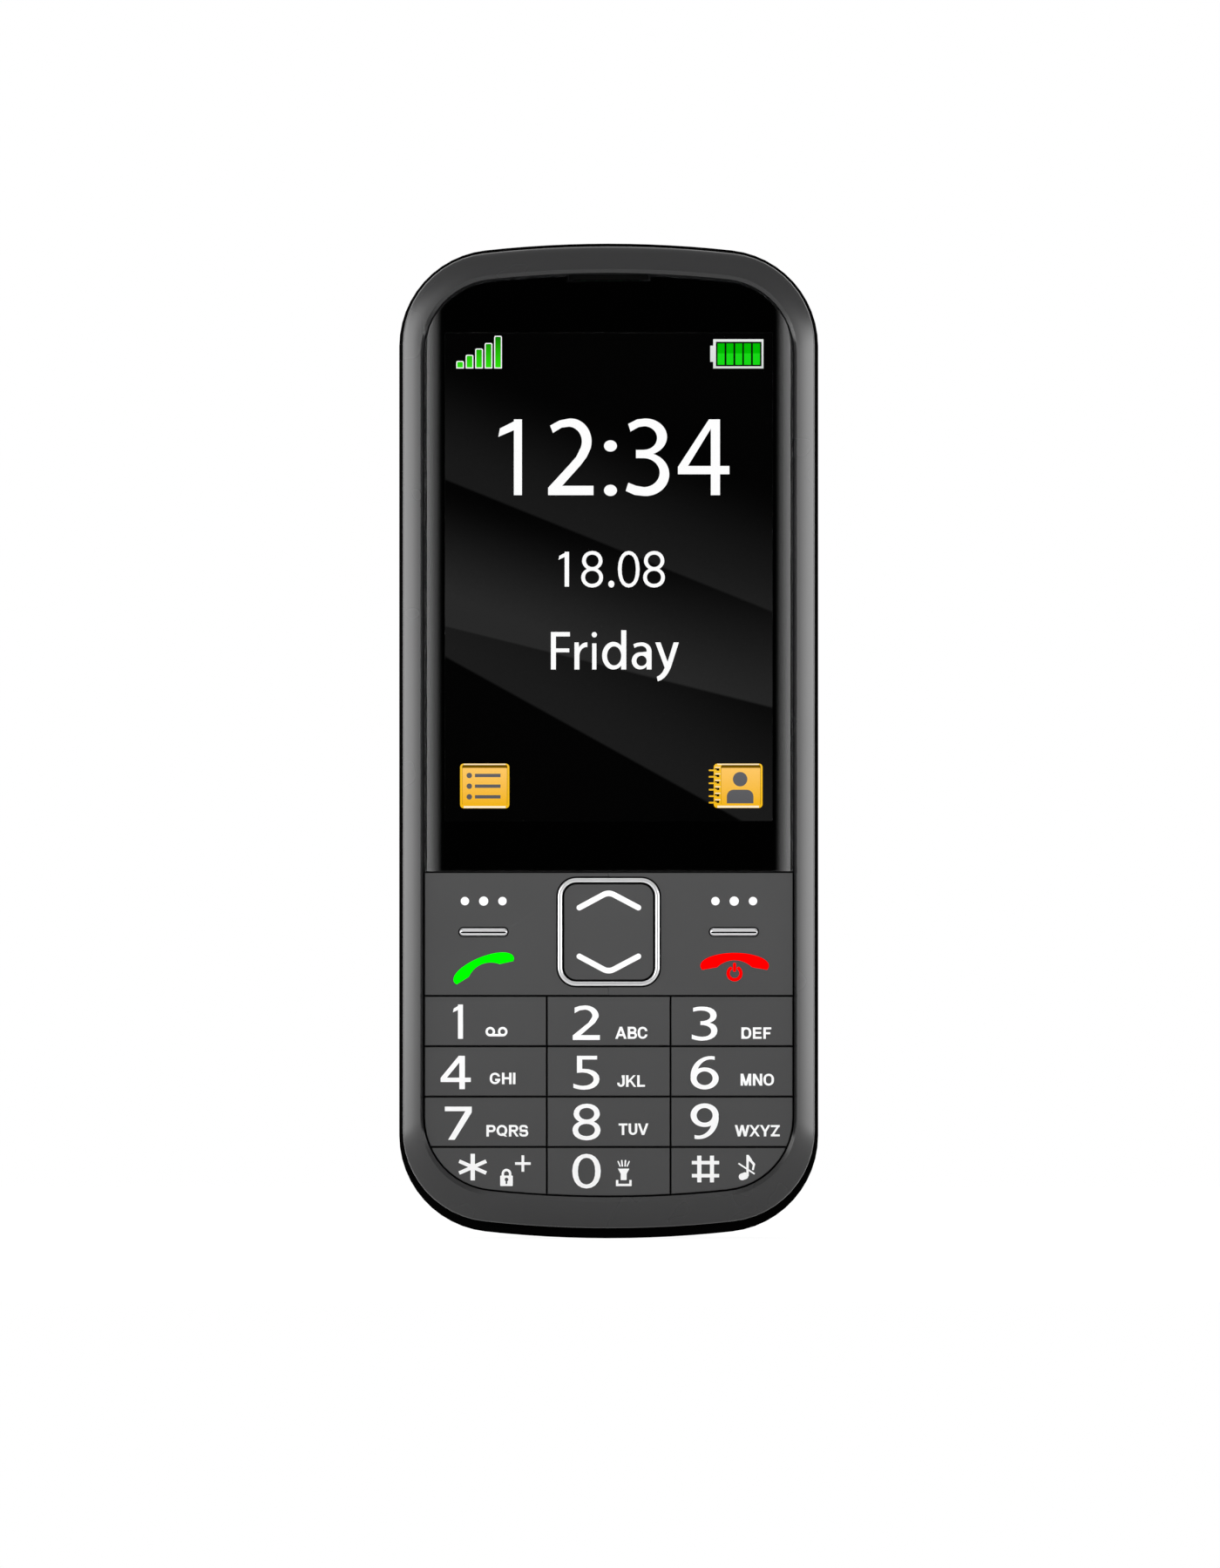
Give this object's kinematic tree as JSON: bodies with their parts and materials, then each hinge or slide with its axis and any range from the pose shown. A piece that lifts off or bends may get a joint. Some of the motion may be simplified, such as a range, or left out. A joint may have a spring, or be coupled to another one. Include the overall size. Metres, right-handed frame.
{
  "type": "feature phone",
  "caption": "Upright bar phone with a display window over a number keypad, a chrome-ringed rocker key, rocking function keys and a lift-off battery cover.",
  "frame": {"origin": "middle of the phone's width and thickness, at the bottom end", "axes": "+Z along the length towards the earpiece end, +Y out of the back, +X to the right as one looks at the display and keys"},
  "size_m": [0.052, 0.013, 0.1235],
  "materials": {
    "bezel_plastic": "dark grey painted plastic, satin",
    "shell_plastic": "black fine-textured plastic",
    "inner_plastic": "dark moulded plastic",
    "window": "clear window, black print behind its border",
    "tape": "double-sided adhesive tape",
    "panel_glass": "display glass",
    "backlight_white": "white light guide",
    "flex_film": "amber film with tracks",
    "driver_black": "black sound driver",
    "dust_mesh": "black fine mesh",
    "dome_steel": "thin steel domes on a film",
    "key_plastic": "mid grey satin keycaps",
    "chrome_trim": "bright chrome plate",
    "board_green": "green circuit board",
    "cell_can": "wrapped flat cell",
    "contact_metal": "yellow metal",
    "sheet_steel": "bright sheet steel",
    "torch_clear": "clear torch lens",
    "led_yellow": "yellow phosphor diode",
    "legend_print": "white printed legends",
    "call_print": "green printed call sign",
    "end_print": "red printed end sign",
    "screen_image": "lit image of the display"
  },
  "bodies": {
    "phone": {"front_bezel": "bezel_plastic", "rear_housing": "shell_plastic", "front_chassis": "inner_plastic", "rear_chassis": "inner_plastic", "key_guide": "inner_plastic", "display_lens": "window", "lens_adhesive": "tape", "display_panel": "panel_glass", "display_backlight": "backlight_white", "display_flex": "flex_film", "earpiece": "driver_black", "loudspeaker": "driver_black", "earpiece_mesh": "dust_mesh", "dome_sheet": "dome_steel", "nav_ring": "chrome_trim", "main_board": "board_green", "battery": "cell_can", "battery_contacts": "contact_metal", "antenna": "contact_metal", "shield_cans": "sheet_steel", "sim_holder": "sheet_steel", "usb_port": "sheet_steel", "microphone": "sheet_steel", "vibration_motor": "sheet_steel", "housing_screws": "sheet_steel", "torch_lens": "torch_clear", "torch_led": "led_yellow"},
    "key_1": {"key_1": "key_plastic"},
    "key_2": {"key_2": "key_plastic"},
    "key_3": {"key_3": "key_plastic"},
    "key_4": {"key_4": "key_plastic"},
    "key_5": {"key_5": "key_plastic"},
    "key_6": {"key_6": "key_plastic"},
    "key_7": {"key_7": "key_plastic"},
    "key_8": {"key_8": "key_plastic"},
    "key_9": {"key_9": "key_plastic"},
    "key_star": {"key_star": "key_plastic"},
    "key_0": {"key_0": "key_plastic"},
    "key_hash": {"key_hash": "key_plastic"},
    "left_function": {"left_function_key": "key_plastic", "left_trim_bar": "chrome_trim"},
    "right_function": {"right_function_key": "key_plastic", "right_trim_bar": "chrome_trim"},
    "nav": {"nav_key": "key_plastic"},
    "cover": {"battery_cover": "shell_plastic", "speaker_mesh": "dust_mesh"},
    "motor_weight": {"vibration_weight": "contact_metal"}
  },
  "joints": [
    {"name": "key_1_press", "type": "slide", "parent": "phone", "child": "key_1", "axis": [0, 1, 0], "range_m": [0, 0.00035], "stiffness_N_per_m": 2000},
    {"name": "key_2_press", "type": "slide", "parent": "phone", "child": "key_2", "axis": [0, 1, 0], "range_m": [0, 0.00035], "stiffness_N_per_m": 2000},
    {"name": "key_3_press", "type": "slide", "parent": "phone", "child": "key_3", "axis": [0, 1, 0], "range_m": [0, 0.00035], "stiffness_N_per_m": 2000},
    {"name": "key_4_press", "type": "slide", "parent": "phone", "child": "key_4", "axis": [0, 1, 0], "range_m": [0, 0.00035], "stiffness_N_per_m": 2000},
    {"name": "key_5_press", "type": "slide", "parent": "phone", "child": "key_5", "axis": [0, 1, 0], "range_m": [0, 0.00035], "stiffness_N_per_m": 2000},
    {"name": "key_6_press", "type": "slide", "parent": "phone", "child": "key_6", "axis": [0, 1, 0], "range_m": [0, 0.00035], "stiffness_N_per_m": 2000},
    {"name": "key_7_press", "type": "slide", "parent": "phone", "child": "key_7", "axis": [0, 1, 0], "range_m": [0, 0.00035], "stiffness_N_per_m": 2000},
    {"name": "key_8_press", "type": "slide", "parent": "phone", "child": "key_8", "axis": [0, 1, 0], "range_m": [0, 0.00035], "stiffness_N_per_m": 2000},
    {"name": "key_9_press", "type": "slide", "parent": "phone", "child": "key_9", "axis": [0, 1, 0], "range_m": [0, 0.00035], "stiffness_N_per_m": 2000},
    {"name": "key_star_press", "type": "slide", "parent": "phone", "child": "key_star", "axis": [0, 1, 0], "range_m": [0, 0.00035], "stiffness_N_per_m": 2000},
    {"name": "key_0_press", "type": "slide", "parent": "phone", "child": "key_0", "axis": [0, 1, 0], "range_m": [0, 0.00035], "stiffness_N_per_m": 2000},
    {"name": "key_hash_press", "type": "slide", "parent": "phone", "child": "key_hash", "axis": [0, 1, 0], "range_m": [0, 0.00035], "stiffness_N_per_m": 2000},
    {"name": "left_function_rock", "type": "hinge", "parent": "phone", "child": "left_function", "pos_m": [-0.0155, -0.004, 0.03808], "axis": [1, 0, 0], "range_deg": [-2, 2], "stiffness_Nm_per_rad": 0.08},
    {"name": "right_function_rock", "type": "hinge", "parent": "phone", "child": "right_function", "pos_m": [0.0155, -0.004, 0.03808], "axis": [1, 0, 0], "range_deg": [-2, 2], "stiffness_Nm_per_rad": 0.08},
    {"name": "nav_rock", "type": "hinge", "parent": "phone", "child": "nav", "pos_m": [0, -0.004, 0.03808], "axis": [1, 0, 0], "range_deg": [-2.5, 2.5], "stiffness_Nm_per_rad": 0.05},
    {"name": "cover_lift", "type": "slide", "parent": "phone", "child": "cover", "axis": [0, 1, 0], "range_m": [0, 0.012]},
    {"name": "motor_spin", "type": "hinge", "parent": "phone", "child": "motor_weight", "pos_m": [-0.0102, 0.00145, 0.0811], "axis": [1, 0, 0], "continuous": true}
  ]
}
